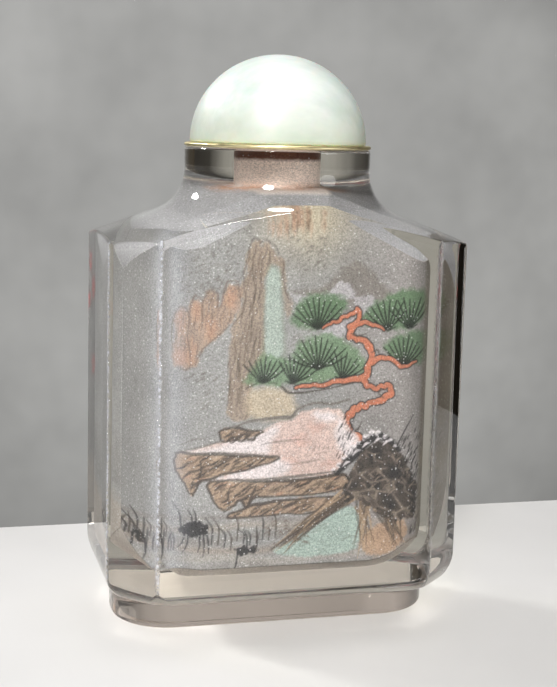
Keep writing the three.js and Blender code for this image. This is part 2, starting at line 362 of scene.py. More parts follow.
class Finish:
    """A material in the making: a Principled shader's plain values, and nodes that vary them."""

    def __init__(self, name, **values):
        self.material = bpy.data.materials.new(name)
        self.material.use_nodes = True
        self.tree = self.material.node_tree
        self.shader = self.tree.nodes["Principled BSDF"]
        for socket, value in values.items():
            self.shader.inputs[socket.replace("_", " ")].default_value = value
        self.place = self.add("TexCoord", out="Object")

    def add(self, kind, settings=None, inputs=None, out=0):
        """Adds a shader node with settings and with values or links, and gives one output."""
        node = self.tree.nodes.new("ShaderNode" + kind)
        for setting, value in (settings or {}).items():
            setattr(node, setting, value)
        for socket, value in (inputs or {}).items():
            if isinstance(value, Tone):
                self.tree.links.new(value.socket, node.inputs[socket])
            else:
                node.inputs[socket].default_value = value
        return Tone(self, node.outputs[out])

    def noise(self, scale, detail=2.0, roughness=0.5, place=None):
        return self.add("TexNoise", {}, {
            "Vector": place or self.place, "Scale": scale, "Detail": detail, "Roughness": roughness,
        }, "Fac")

    def ramp(self, value, low, high, start=0.0, end=1.0):
        """Carries a value from one range into another, and holds it at both ends."""
        return self.add("MapRange", {}, {
            "Value": value, "From Min": low, "From Max": high, "To Min": start, "To Max": end,
        })

    def mix(self, share, first, second):
        """A colour between two colours."""
        return self.add("Mix", {"data_type": "RGBA"}, {0: share, 6: first, 7: second}, 2)

    def feed(self, socket, value):
        self.tree.links.new(value.socket, self.shader.inputs[socket])

    def bump(self, height, strength, distance):
        bumped = self.add("Bump", {},
                          {"Height": height, "Strength": strength, "Distance": distance})
        self.feed("Normal", bumped)


# Clear glass, faintly warm, with the slight waviness of hand polishing. It is pinker in the foot, a
# painted reflection of warm colour. Its upright edges are chipped, and painted white, most at the
# left, as a painted highlight along them. Lamps reach the painting through it: for their rays it is
# only a tint.
CHIP_AND_HIGHLIGHT_REACH = 0.00045
CHIP_AND_HIGHLIGHT_CORE = 0.0001
GLASS_TINT = (0.90, 0.86, 0.76, 1)
FOOT_REFLECTION_PINK = (0.93, 0.80, 0.71, 1)
LAMP_TINT = (0.93, 0.93, 0.91, 1)
CHIP_AND_HIGHLIGHT_WHITE = (0.82, 0.84, 0.92, 1)
glass = Finish("clear_glass", Roughness=0.0, IOR=1.5, Transmission_Weight=1.0)
folded = glass.add("VectorMath", {"operation": "ABSOLUTE"}, {0: glass.place})
folded = glass.add("VectorMath", {"operation": "MULTIPLY"}, {0: folded, 1: (1.0, 1.0, 0.0)})
upright_edges = [
    (HALF_WIDTH - CORNER_CHAMFER, HALF_DEPTH, 0), (HALF_WIDTH, HALF_DEPTH - CORNER_CHAMFER, 0)
]
from_edges = [
    glass.add("VectorMath", {"operation": "DISTANCE"}, {0: folded, 1: edge}, "Value")
    for edge in upright_edges
]
from_edge = from_edges[0].math("MINIMUM", *from_edges)
# The white on the upright edges is partly chips and partly a painted highlight, strongest at the
# left.
edge_chips_and_highlight = glass.ramp(from_edge, CHIP_AND_HIGHLIGHT_REACH, CHIP_AND_HIGHLIGHT_CORE)
edge_chips_and_highlight = edge_chips_and_highlight * glass.ramp(glass.noise(1800, 3, 0.7), 0.42, 0.6, 0.1, 1.0)
to_right = glass.add("SeparateXYZ", {}, {0: glass.place}, "X")
edge_chips_and_highlight = edge_chips_and_highlight * glass.ramp(to_right, 0.01, -0.01, 0.3, 1.0)
glass.bump(glass.noise(55, 1) * 0.02 + edge_chips_and_highlight * glass.noise(2600, 2) * 0.22, 1.0, 0.001)
# The pink towards the foot is a painted reflection.
foot_reflection_share = glass.ramp(glass.add("SeparateXYZ", {}, {0: glass.place}, "Z"), 0.0075, 0.003)
glass.feed("Base Color", glass.mix(foot_reflection_share, GLASS_TINT, FOOT_REFLECTION_PINK))
for_lamps = glass.add("LightPath", out="Is Shadow Ray")
tint = glass.add("BsdfTransparent", {}, {"Color": LAMP_TINT})
chip_and_highlight_shader = glass.add("BsdfDiffuse", {}, {"Color": CHIP_AND_HIGHLIGHT_WHITE})
clear = Tone(glass, glass.shader.outputs[0])
edged = glass.add("MixShader", {}, {0: edge_chips_and_highlight * 0.5, 1: clear, 2: chip_and_highlight_shader})
either = glass.add("MixShader", {}, {0: for_lamps, 1: edged, 2: tint})
glass.tree.links.new(either.socket, glass.tree.nodes["Material Output"].inputs["Surface"])
bottle.data.materials.clear()
bottle.data.materials.append(glass.material)
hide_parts("bottle")
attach(bottle, "root")

# The lining: the hollow's own skin, left matt by the grinding paste, from the floor up the bore. It
# is a shell 0.1 mm thick whose outside lies just within the glass, so no air shows between the two.
LINING_OUT = 0.00003
LINING_IN = -0.00008
LINING_TOP = NECK_TOP - 0.0005
CORK_LINE = 0.0655
FLOOR_SKIN = (0.44, 0.41, 0.395, 1)
ROOF_SKIN_AND_HIGHLIGHT = (0.29, 0.295, 0.325, 1)
BORE_SKIN_AND_HIGHLIGHT = (0.97, 0.84, 0.80, 1)
SNUFF_STAIN = (0.42, 0.20, 0.10, 1)
CORK_STAIN = (0.17, 0.075, 0.055, 1)
GRAIN_SCALE = 4600
GLINT_SCALE = 3600.0
GLINT_WHITE = (0.88, 0.90, 0.95, 1)


def lining_rows():
    """The lining as loops: up the outside, over the rim in the bore, and down the inside."""
    outside = hollow_rows(LINING_OUT, LINING_TOP)
    inside = hollow_rows(LINING_IN, LINING_TOP)
    return np.concatenate([outside, inside[::-1]])


lining = closed_grid(
    "matt_lining", lining_rows(), (HOLLOW_CENTRE, 0, HOLLOW_FLOOR - LINING_OUT),
    (HOLLOW_CENTRE, 0, HOLLOW_FLOOR - LINING_IN),
)


def ground_grain_and_painted_glints(finish, colour):
    """The look of ground glass over a colour: soft clouds, a fine grain, and few bright points that
    are painted glints.
    """
    cloud = finish.ramp(finish.noise(160, 4, 0.6), 0.3, 0.7, 0.9, 1.1)
    grain = finish.ramp(finish.noise(GRAIN_SCALE, 2, 0.75), 0.32, 0.68, 0.66, 1.34)
    shade = cloud * grain
    grey = finish.add("CombineColor", {}, {0: shade, 1: shade, 2: shade})
    multiply = {"data_type": "RGBA", "blend_type": "MULTIPLY"}
    toned = finish.add("Mix", multiply, {0: 1.0, 6: colour, 7: grey}, 2)
    # The few bright points are painted glints.
    cells = {"Vector": finish.place, "Scale": GLINT_SCALE}
    chance = finish.add("TexVoronoi", {}, cells, "Color")
    near = finish.add("TexVoronoi", {}, cells, "Distance")
    picked = finish.ramp(finish.add("SeparateColor", {}, {0: chance}), 0.88, 0.99)
    point = picked * finish.ramp(near, 0.28, 0.5, 1.0, 0.0)
    return finish.mix(point * 0.5, toned, GLINT_WHITE)


matt = Finish("matt_ground_glass", Roughness=0.7, IOR=1.3)
height = matt.add("SeparateXYZ", {}, {0: matt.place}, "Z")
blotch = matt.noise(420, 4, 0.65)
level = matt.add("VectorMath", {"operation": "MULTIPLY"}, {0: matt.place, 1: (1.0, 1.0, 0.0)})
from_axis = matt.add("VectorMath", {"operation": "LENGTH"}, {0: level}, "Value")
stain = matt.ramp(height, 0.0575, 0.0590) * matt.ramp(height, 0.0625, 0.0604)
stain = stain * matt.ramp(blotch, 0.35, 0.6) * matt.ramp(from_axis, 0.0075, 0.0052)
in_bore = matt.ramp(height, 0.0602, 0.0612)
# Painted highlights: the roof's bluish grey is lightened for the bright bands along it, and the
# bore's pink is lightened nearly to white.
skin = matt.mix(matt.ramp(height, 0.02, 0.05), FLOOR_SKIN, ROOF_SKIN_AND_HIGHLIGHT)
skin = matt.mix(in_bore, skin, BORE_SKIN_AND_HIGHLIGHT)
skin = matt.mix(stain * 0.8, skin, SNUFF_STAIN)
beside_cork = matt.ramp(height + matt.noise(900, 2) * 0.0004, CORK_LINE, CORK_LINE + 0.0005)
skin = matt.mix(beside_cork, skin, CORK_STAIN)
matt.feed("Base Color", ground_grain_and_painted_glints(matt, skin))
matt.feed("Roughness", in_bore * -0.4 + 0.7)
matt.bump(matt.noise(2600, 3, 0.7), 0.4, 0.0001)
lining.data.materials.append(matt.material)
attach(lining, "root")


# The paintings: thin water colour on the matt front and back walls, laid on from inside with a bent
# brush. Each is a veneer just outside the lining, with its colours worked out at every point.
VENEER_OUT = 0.00006
VENEER_IN = 0.00001
MM = 1000.0


def veneer(name, flat_steps, end_steps, wall_rows, way):
    """Half of the hollow's upright wall as a thin closed strip: a fine outer grid, and an inner
    face of one quad to each column, joined along their four borders. Way is 1 for the front and -1
    for the back, which is the same strip turned half round."""
    def strip(grow):
        x, y = hollow_plan(flat_steps, 2 * end_steps, grow)
        first = 2 * flat_steps + 3 * end_steps
        around = (first + np.arange(flat_steps + 2 * end_steps + 1)) % len(x)
        if way < 0:
            around = (around + flat_steps + 2 * end_steps) % len(x)
        x, y = x[around], y[around]
        low, high = hollow_heights(x, y, grow)
        return x, y, low, high

    x, y, low, high = strip(VENEER_OUT)
    share = np.linspace(0, 1, wall_rows)[:, None]
    count = len(x)
    z = low + (high - low) * share
    outer = np.stack([np.broadcast_to(x, z.shape), np.broadcast_to(y, z.shape), z], -1)
    inner_x, inner_y, inner_low, inner_high = strip(VENEER_IN)
    inner = np.stack([
        np.stack([inner_x, inner_y, inner_low], -1), np.stack([inner_x, inner_y, inner_high], -1)])
    here = np.arange(wall_rows * count).reshape(wall_rows, count)
    foot = wall_rows * count + np.arange(count)
    head = foot + count

    def quads(a, b, c, d):
        return np.stack([a, b, c, d], -1).reshape(-1, 4).tolist()

    faces = quads(here[:-1, :-1], here[:-1, 1:], here[1:, 1:], here[1:, :-1])
    faces += quads(foot[1:], foot[:-1], head[:-1], head[1:])
    faces += quads(foot[:-1], foot[1:], here[0, 1:], here[0, :-1])
    faces += quads(here[-1, :-1], here[-1, 1:], head[1:], head[:-1])
    faces.append([int(foot[0])] + here[:, 0].tolist() + [int(head[0])])
    faces.append([int(head[-1])] + here[::-1, -1].tolist() + [int(foot[-1])])
    points = np.concatenate([outer.reshape(-1, 3), inner.reshape(-1, 3)])
    return new_piece(name, points, faces), outer


class Picture:
    """Colours over a veneer, painted in millimetres: x to the right as its viewer sees it, z up."""

    def __init__(self, x, z, ground):
        self.x = x.ravel()
        self.z = z.ravel()
        self.colour = np.tile(np.array(ground, float), (self.x.size, 1))

    def lay(self, where, cover, colour):
        """Lays a colour over some points, each covered to its own share."""
        colour = np.array(colour, float)
        self.colour[where] += (colour - self.colour[where]) * cover[:, None]

    def cloud(self, size, seed, where=slice(None)):
        """Smooth noise from 0 to 1: random values on a square lattice, blended between them."""
        values = np.random.default_rng(seed).random((64, 64))
        u, v = self.x[where] / size + 31.0, self.z[where] / size + 7.0
        i, j = np.floor(u).astype(int), np.floor(v).astype(int)
        s, t = u - i, v - j
        s, t = s * s * (3 - 2 * s), t * t * (3 - 2 * t)
        i, j, k, m = i % 64, j % 64, (i + 1) % 64, (j + 1) % 64
        low = values[i, j] * (1 - s) + values[k, j] * s
        high = values[i, m] * (1 - s) + values[k, m] * s
        return low * (1 - t) + high * t

    def near(self, points, reach):
        """The points of the picture in the box round some places, widened by a reach."""
        low, high = points.min(0) - reach, points.max(0) + reach
        inside = (self.x > low[0]) & (self.x < high[0]) & (self.z > low[1]) & (self.z < high[1])
        return np.flatnonzero(inside)

    def wash(self, outline, colour, strength=1.0, soft=0.5, ragged=0.0, seed=1, rounded=True):
        """A patch of colour inside an outline. Its edge is soft, and ragged by smooth noise."""
        loop = curve(outline, closed=True) if rounded else np.array(outline, float)
        where = self.near(loop, soft + ragged)
        x, z = self.x[where][:, None], self.z[where][:, None]
        (ax, az), (bx, bz) = loop.T, np.roll(loop, -1, 0).T
        away = distance(x, z, ax, az, bx, bz)[0]
        away = np.where(inside(x, z, ax, az, bx, bz), away, -away)
        away += ragged * (self.cloud(0.9, seed, where) + self.cloud(0.35, seed + 1, where) - 1)
        self.lay(where, strength * np.clip(away / soft + 0.5, 0, 1), colour)

    def stroke(self, points, widths, colour, strength=1.0, soft=0.12):
        """A brush stroke along a smooth line. Its width runs through the given widths."""
        line = curve(points)
        where = self.near(line, max(widths))
        x, z = self.x[where][:, None], self.z[where][:, None]
        (ax, az), (bx, bz) = line[:-1].T, line[1:].T
        away, along = distance(x, z, ax, az, bx, bz)
        width = np.interp(along, np.linspace(0, 1, len(widths)), widths)
        self.lay(where, strength * np.clip((width / 2 - away) / soft + 0.5, 0, 1), colour)


def curve(points, closed=False, steps=6):
    """A smooth line through the points: a Catmull-Rom spline, whose slope at each point is that of
    the line between its neighbours."""
    points = np.array(points, float)
    before, after = points[:1] * 2 - points[1:2], points[-1:] * 2 - points[-2:-1]
    if closed:
        before, after = points[-1:], points[:2]
    padded = np.concatenate([before, points, after])
    t = (np.arange(steps) / steps)[None, :, None]
    a, b, c, d = (padded[k : len(padded) - 3 + k, None] for k in range(4))
    square, cube = 2 * a - 5 * b + 4 * c - d, 3 * b - a - 3 * c + d
    line = 0.5 * (2 * b + (c - a) * t + square * t**2 + cube * t**3)
    line = line.reshape(-1, 2)
    return line if closed else np.concatenate([line, points[-1:]])


def distance(x, z, ax, az, bx, bz):
    """The distance of each place from a chain of segments, and how far along the chain its nearest
    point lies, from 0 to 1."""
    dx, dz = bx - ax, bz - az
    length = np.maximum(dx**2 + dz**2, 1e-9)
    share = np.clip(((x - ax) * dx + (z - az) * dz) / length, 0, 1)
    apart = np.hypot(x - ax - share * dx, z - az - share * dz)
    nearest = apart.argmin(1)
    rows = np.arange(len(nearest))
    return apart[rows, nearest], (nearest + share[rows, nearest]) / len(ax)


def inside(x, z, ax, az, bx, bz):
    """Whether each place is inside a closed chain of segments: there a level line from it crosses
    the chain an odd number of times."""
    rise = np.where(np.abs(bz - az) < 1e-9, 1e-9, bz - az)
    crossed = ((az > z) != (bz > z)) & (x < ax + (z - az) * (bx - ax) / rise)
    return crossed.sum(1) % 2 == 1


def oval(x, z, wide, high, count):
    """Points round an ellipse about a place, counter-clockwise from its right end."""
    turn = np.linspace(0, 2 * math.pi, count + 1)[:-1]
    return np.stack([x + wide * np.cos(turn), z + high * np.sin(turn)], 1)


def finish_veneer(piece, picture, name):
    """Stores a picture's colours on its veneer, in a matt finish with the ground's grain and
    painted glints.
    """
    colours = np.tile((0.4, 0.4, 0.4, 1.0), (len(piece.data.vertices), 1))
    colours[: len(picture.colour), :3] = np.clip(picture.colour, 0, 1)
    layer = piece.data.color_attributes.new("painting", "FLOAT_COLOR", "POINT")
    layer.data.foreach_set("color", colours.ravel())
    paint = Finish(name, Roughness=0.65, IOR=1.3)
    painted = paint.add("VertexColor", {"layer_name": "painting"})
    paint.feed("Base Color", ground_grain_and_painted_glints(paint, painted))
    paint.bump(paint.noise(2600, 3, 0.7), 0.2, 0.0001)
    piece.data.materials.append(paint.material)
    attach(piece, "root")


INK = (0.016, 0.016, 0.02)
SEPIA = (0.055, 0.045, 0.040)
UMBER = (0.135, 0.10, 0.08)
ROCK_BROWN = (0.285, 0.225, 0.185)
TAN = (0.33, 0.24, 0.195)
RUST = (0.40, 0.24, 0.175)
ORANGE = (0.50, 0.195, 0.125)
BLUSH = (0.58, 0.45, 0.435)
WHITE = (0.70, 0.67, 0.73)
MIST = (0.42, 0.41, 0.46)
SLATE = (0.15, 0.14, 0.135)
LEAF = (0.095, 0.18, 0.095)
PALE_LEAF = (0.20, 0.27, 0.20)
NEEDLE = (0.010, 0.016, 0.012)
WATER = (0.33, 0.425, 0.41)
FALL = (0.37, 0.445, 0.43)
HAZE = (0.48, 0.405, 0.31)
GROUND = (0.275, 0.28, 0.295)
END_REFLECTION_BROWN = (0.175, 0.155, 0.128)

front_piece, front_grid = veneer("front_painting", 186, 68, 298, 1)
# Where the wall turns away from the flat front, the picture slides sideways with its depth.
SIGHT_SLOPE = 0.16
across = front_grid[..., 0] - SIGHT_SLOPE * (front_grid[..., 1] + HOLLOW_HALF_DEPTH)
front = Picture(across * MM, front_grid[..., 2] * MM, GROUND)
draw = np.random.default_rng(5)


def hatch(picture, outline, count, slant, widths, colours, strength=0.7, seed=1):
    """Roughly parallel short strokes inside an outline. The middle of each is a random place in it,
    and it runs along the slant, which is a run to the right and a rise, with a small bend."""
    chance = np.random.default_rng(seed)
    line = curve(outline, closed=True)
    low, high = line.min(0), line.max(0)
    (ax, az), (bx, bz) = line.T, np.roll(line, -1, 0).T
    drawn = 0
    for _ in range(count * 12):
        x, z = chance.uniform(low, high)
        half = np.array(slant) * chance.uniform(0.3, 0.6)
        ends = np.array([(x, z) - half, (x, z) + half])
        if inside(ends[:, :1], ends[:, 1:], ax, az, bx, bz).all():
            bend = chance.uniform(-0.12, 0.12) * np.array((slant[1], -slant[0]))
            colour = colours[int(chance.integers(len(colours)))]
            cover = strength * chance.uniform(0.5, 1.1)
            picture.stroke([ends[0], (x, z) + bend, ends[1]], widths, colour, cover)
            drawn += 1
        if drawn == count:
            break


def scatter(boxes):
    """Random places, so many in each box of left, right, low and high."""
    for left, right, low, high, count in boxes:
        for _ in range(count):
            yield draw.uniform(left, right), draw.uniform(low, high)


def gnarled(points, amount, seed, closed=False):
    """A line made crooked: its smooth curve, thinned out, with each point moved at random."""
    line = curve(points, closed)[::2]
    moved = line + np.random.default_rng(seed).normal(0, amount, line.shape)
    if not closed:
        moved[0], moved[-1] = line[0], line[-1]
    return moved


# Ground tones: a violet grey at the right and brown level bands at the bottom, with a painted glow
# of cream light towards the bore.
everywhere = slice(None)
front.colour *= (0.88 + 0.24 * front.cloud(6.0, 12))[:, None]
front.lay(everywhere, 0.45 * np.clip((front.x - 4) / 12, 0, 1), (0.255, 0.22, 0.225))
front.lay(everywhere, 0.35 * np.clip((-front.x - 8) / 10, 0, 1), (0.235, 0.235, 0.25))
painted_bore_glow = np.exp(-(((front.x - 0.8) / 6.0) ** 2) - ((front.z - 59.5) / 6.0) ** 2)
front.lay(everywhere, 0.8 * painted_bore_glow, (0.52, 0.46, 0.35))
for level, thick, colour, strength in [
    (16.9, 0.4, UMBER, 0.3), (15.6, 0.6, (0.33, 0.28, 0.24), 0.5), (14.2, 0.5, UMBER, 0.3),
    (12.6, 0.6, (0.31, 0.245, 0.20), 0.5), (11.0, 0.6, (0.36, 0.33, 0.31), 0.5),
    (9.6, 0.7, UMBER, 0.3),
]:
    wave = level + 0.4 * np.sin(front.x / 4.2 + level) + 0.5 * (front.cloud(2.5, 13) - 0.5)
    front.lay(everywhere, strength * np.exp(-(((front.z - wave) / thick) ** 2)), colour)

# A rust-brown stain under the bore, drawn down in short streaks.
for _ in range(46):
    x = draw.normal(-0.6, 2.0)
    z = draw.uniform(56.6, 59.2) - 0.1 * abs(x)
    line = [(x, z + 1.0), (x + draw.uniform(-0.2, 0.2), z), (x, z - draw.uniform(0.5, 1.6))]
    colour = RUST if draw.random() < 0.6 else UMBER
    front.stroke(line, (0.2, 0.42, 0.1), colour, draw.uniform(0.2, 0.6), 0.3)

# The far hill, and banks of mist before it and lower down.
front.wash(
    [(-1.6, 47.9), (1.4, 48.6), (3.8, 49.2), (5.7, 51.2), (7.9, 52.2), (10.0, 51.2), (11.6, 49.2),
     (13.2, 47.2), (6, 46.6)], (0.165, 0.145, 0.135), 0.62, 0.8, 0.5, 21,
)
for outline, strength in [
    ([(-1.4, 47.9), (0.6, 47.6), (3.6, 48.0), (5.7, 49.5), (7.6, 48.4), (7.2, 46.9), (3.4, 47.0),
      (0.2, 46.8)], 0.85),
    ([(7.8, 47.0), (9.9, 47.8), (10.9, 47.0), (10.2, 45.2), (8.4, 45.2)], 0.7),
    ([(2.6, 41.8), (5.2, 43.7), (8.0, 44.4), (7.0, 43.0), (5.9, 41.6)], 0.8),
]:
    front.wash(outline, MIST, strength, 0.35, 0.5, 23)

# The waterfall: a pale fall between two banks of brown rock, which are hatched and outlined.
cliff = [(-7.6, 51.4), (-7.2, 53.4), (-6.4, 55.2), (-5.6, 54.4), (-4.8, 55.0), (-3.6, 53.9),
         (-2.7, 52.6), (-2.3, 50.6), (-2.7, 51.6), (-4.3, 51.6), (-4.9, 49.4), (-4.9, 44),
         (-4.7, 39.6), (-5.6, 37.2), (-6.4, 35.2), (-6.5, 30.9), (-9.2, 30.9), (-9.6, 35),
         (-9.7, 40), (-9.0, 44.4), (-7.9, 47.4)]
cliff = gnarled(cliff, 0.16, 30, closed=True)
front.wash(cliff, ROCK_BROWN, 0.85, 0.35, 0.3, 31)
front.wash([(-2.9, 52.0), (-2.2, 51.6), (-1.9, 48.4), (-0.9, 46.4), (-1.6, 44.6), (-2.3, 47.0),
            (-2.6, 49.6)],
           ROCK_BROWN, 0.7, 0.4, 0.3, 32)
hatch(front, cliff, 120, (0.35, 2.6), (0.1, 0.24, 0.08), (UMBER, UMBER, SEPIA, (0.38, 0.31, 0.25)),
      0.6, 33)
front.wash([(-4.6, 51.3), (-3.6, 51.8), (-2.7, 51.0), (-2.2, 46.8), (-1.8, 42), (-1.9, 38.2),
            (-5.0, 38.2), (-5.0, 43), (-4.9, 47.5)], PALE_LEAF, 0.35, 0.6, 0.2, 34)
front.wash([(-4.4, 50.8), (-3.0, 50.8), (-2.6, 46), (-2.2, 40), (-4.3, 39), (-4.7, 45)],
           FALL, 0.85, 0.5, 0.15, 35)
for line in [
    [(-7.4, 53.0), (-6.9, 54.6), (-6.3, 55.6), (-5.7, 54.6), (-4.9, 55.3), (-3.7, 54.2),
     (-2.6, 52.8)],
    [(-2.4, 52.4), (-2.2, 49.0), (-1.2, 46.6)],
    [(-7.4, 53.0), (-7.8, 49.6), (-7.6, 46.6), (-9.5, 43.4)],
    [(-6.2, 54.4), (-6.6, 51.6), (-6.2, 48.4)],
    [(-4.6, 54.2), (-5.4, 51.4), (-5.3, 47.8)],
]:
    front.stroke(gnarled(line, 0.12, 39), (0.12, 0.32, 0.14, 0.28, 0.1), SEPIA, 0.5)
front.stroke([(-9.6, 38.8), (-9.3, 34.6), (-9.2, 31.2)], (0.1, 0.24, 0.1), UMBER, 0.6)

# The shelf of orange rock left of the waterfall: upright lobes that grow together.
shelf = [(-17.3, 40.6), (-17.1, 44.4), (-16.4, 46.0), (-15.4, 45.6), (-14.6, 47.4), (-13.5, 47.0),
         (-12.6, 48.2), (-11.4, 47.8), (-10.9, 46.6), (-9.9, 49.2), (-8.6, 49.2), (-8.0, 47.4),
         (-9.3, 44.6), (-10.6, 42.6), (-12.2, 41.2), (-13.4, 40.3), (-14.2, 38.2), (-15.6, 37.8),
         (-17.2, 38.3)]
shelf = gnarled(shelf, 0.14, 35, closed=True)
front.wash(shelf, TAN, 0.85, 0.35, 0.3, 36)
for x, z, wide, high in [(-16.3, 39.4, 1.1, 1.2), (-14.9, 40.4, 0.7, 2.0), (-14.3, 45.6, 0.7, 1.4),
                         (-12.2, 43.4, 0.8, 1.6), (-9.6, 47.4, 0.8, 1.3), (-16.4, 44.0, 0.5, 1.6)]:
    front.wash(oval(x, z, wide, high, 8), RUST, 0.75, 0.8, 0.4, 37)
hatch(front, shelf, 60, (0.2, 2.4), (0.1, 0.3, 0.1),
      (UMBER, (0.22, 0.18, 0.16), (0.44, 0.30, 0.22)), 0.55, 38)
for line in [[(-17.4, 39.0), (-17.4, 44.0), (-16.4, 46.3), (-15.4, 45.4), (-15.3, 42.0)],
             [(-15.2, 45.2), (-14.4, 47.6), (-13.4, 46.8), (-13.4, 43.4)],
             [(-13.3, 46.8), (-12.3, 48.4), (-11.3, 47.6), (-11.4, 44.6)],
             [(-10.8, 46.2), (-10.0, 49.4), (-8.6, 49.4), (-8.2, 46.8)],
             [(-15.4, 42.4), (-14.9, 39.8), (-15.2, 37.9), (-17.0, 38.0)],
             [(-14.2, 38.4), (-13.2, 40.4), (-11.4, 42.2), (-9.6, 43.8)]]:
    front.stroke(gnarled(line, 0.12, 40), (0.1, 0.3, 0.14, 0.26, 0.1), UMBER, 0.7)

# Moss: short slanting dabs in loose flocks on the far slopes.
for x, z in scatter([
    (-16.6, -8.2, 48.0, 54.4, 120), (-2.0, 3.6, 51.0, 55.4, 60), (-13.6, -9.8, 32.2, 37.2, 44),
    (-16, -13.0, 35.8, 37.6, 12), (-1.2, 1.6, 38.4, 43.0, 22),
]):
    length = draw.uniform(0.3, 0.8)
    front.stroke([(x, z), (x + length * 0.8, z + length * 0.4)], (0.1, 0.26, 0.12), SLATE,
                 draw.uniform(0.3, 0.75), 0.16)

# The pale glow of a pool at the waterfall's foot, under a dark bank.
front.wash([(-6.4, 34.8), (-1.3, 34.4), (-0.4, 31.0), (-6.4, 31.0)], HAZE, 0.8, 1.2, 0.3, 41)
front.stroke([(-7.2, 35.0), (-5.4, 35.8), (-3.6, 35.8), (-2.2, 35.2), (-1.0, 34.3), (2.8, 34.5),
              (8.4, 35.5)],
             (0.12, 0.36, 0.3, 0.42, 0.26, 0.12), SEPIA, 0.85)

# The pine's green: soft patches behind the needles.
for outline, colour in [
    ([(-1.0, 43.9), (-0.7, 46.0), (1.4, 47.6), (3.8, 47.9), (6.8, 46.9), (6.0, 45.0), (2.6, 43.0)],
     LEAF),
    ([(9.0, 44.0), (10.0, 46.0), (12.0, 47.2), (15.4, 48.4), (18.4, 47.8), (18.6, 44.6),
      (14.5, 42.8)], LEAF),
    ([(-6.9, 37.2), (-4.8, 39.6), (-1.2, 39.2), (0.4, 41.4), (4.2, 42.4), (7.2, 41.0), (9.4, 39.0),
      (9.2, 36.8), (-0.1, 35.4), (-6.7, 35.6)], (0.13, 0.22, 0.13)),
    ([(12.2, 40.2), (14.4, 41.9), (18.6, 42.4), (19.2, 38.8), (15.6, 37.6)], LEAF),
]:
    front.wash(outline, colour, 0.85, 0.7, 0.5, 45)

# Needles: fans of thin dark strokes that spring from the boughs.
for x, z, count, reach, start, end in [
    (2.7, 43.1, 11, 4.3, 28, 150), (12.8, 42.8, 8, 4.3, 48, 142), (16.0, 43.0, 9, 4.3, 45, 140),
    (2.9, 37.5, 12, 4.6, 24, 158), (-4.8, 35.8, 9, 3.7, 32, 138), (-0.7, 35.6, 9, 3.8, 28, 122),
    (6.3, 36.1, 8, 3.6, 24, 120), (15.3, 37.8, 10, 4.0, 34, 140),
]:
    for turn in np.radians(np.linspace(start, end, count)):
        length = reach * draw.uniform(0.85, 1.08)
        side = math.cos(turn)
        tip = (x + length * side, z + length * math.sin(turn))
        bend = (x + length * 0.55 * side, z + length * 0.55 * math.sin(turn) - 0.3 * abs(side))
        front.stroke([(x + 0.3 * side, z + 0.15), bend, tip], (0.2, 0.27, 0.18), NEEDLE, 0.97, 0.12)
    front.stroke([(x - 1.0, z + 0.35), (x, z), (x + 1.1, z + 0.4)], (0.16, 0.44, 0.16), NEEDLE,
                 0.85)

# The pine: a crooked trunk and its boughs, orange between uneven dark outlines.
trunk = [(9.4, 27.4), (7.8, 28.8), (7.3, 30.2), (8.3, 31.7), (9.8, 32.4), (11.9, 32.6),
         (13.3, 33.9), (12.9, 35.0), (11.1, 34.9), (9.8, 35.7), (9.9, 37.0), (10.4, 38.5),
         (10.5, 40.1), (9.7, 41.2), (8.3, 41.4), (7.3, 42.3), (7.7, 43.7), (8.5, 44.6), (8.2, 45.8)]
boughs = [
    ([(9.8, 36.4), (7.6, 36.0), (5.0, 35.6), (2.4, 35.2), (-0.2, 35.0)], (0.9, 0.65, 0.5, 0.35)),
    ([(8.3, 45.6), (7.2, 45.0), (6.0, 44.5), (4.8, 43.9), (3.4, 43.2)], (0.55, 0.45, 0.4, 0.2)),
    ([(7.4, 42.6), (8.4, 43.7), (9.6, 43.8), (10.8, 43.4), (12.2, 42.8)], (0.75, 0.6, 0.45, 0.2)),
    ([(10.4, 38.2), (12.0, 39.0), (13.6, 38.5), (15.2, 37.5), (17.2, 38.2)], (0.8, 0.6, 0.5, 0.25)),
]
trunk_widths = (1.0, 0.75, 0.95, 0.65, 0.95, 0.6, 0.55, 0.9, 0.7, 0.95, 0.6, 0.8, 0.55, 0.5)
limbs = [(gnarled(line, 0.12, 47), np.array(widths)) for line, widths in boughs]
limbs.append((gnarled(trunk, 0.2, 46), np.array(trunk_widths)))
OUTLINE_MARGIN = 0.4
SHADE_SIDE = (0.1, -0.12)
for line, widths in limbs:
    front.stroke(line, widths + OUTLINE_MARGIN, INK, 0.92)
    front.stroke(line + SHADE_SIDE, widths * 1.1, SEPIA, 0.5)
for line, widths in limbs:
    front.stroke(line, widths, ORANGE, 0.95)
    front.stroke(line + SHADE_SIDE, widths * 0.3, (0.5, 0.13, 0.07), 0.45)
for line in [[(8.0, 28.6), (9.0, 29.0), (9.4, 30.0)], [(12.6, 33.2), (11.8, 34.0), (12.6, 34.6)],
             [(10.4, 39.6), (11.4, 40.0), (11.6, 39.2)], [(7.4, 42.4), (8.4, 42.0), (9.6, 42.3)]]:
    front.stroke(line, (0.1, 0.26, 0.1), SEPIA, 0.9)

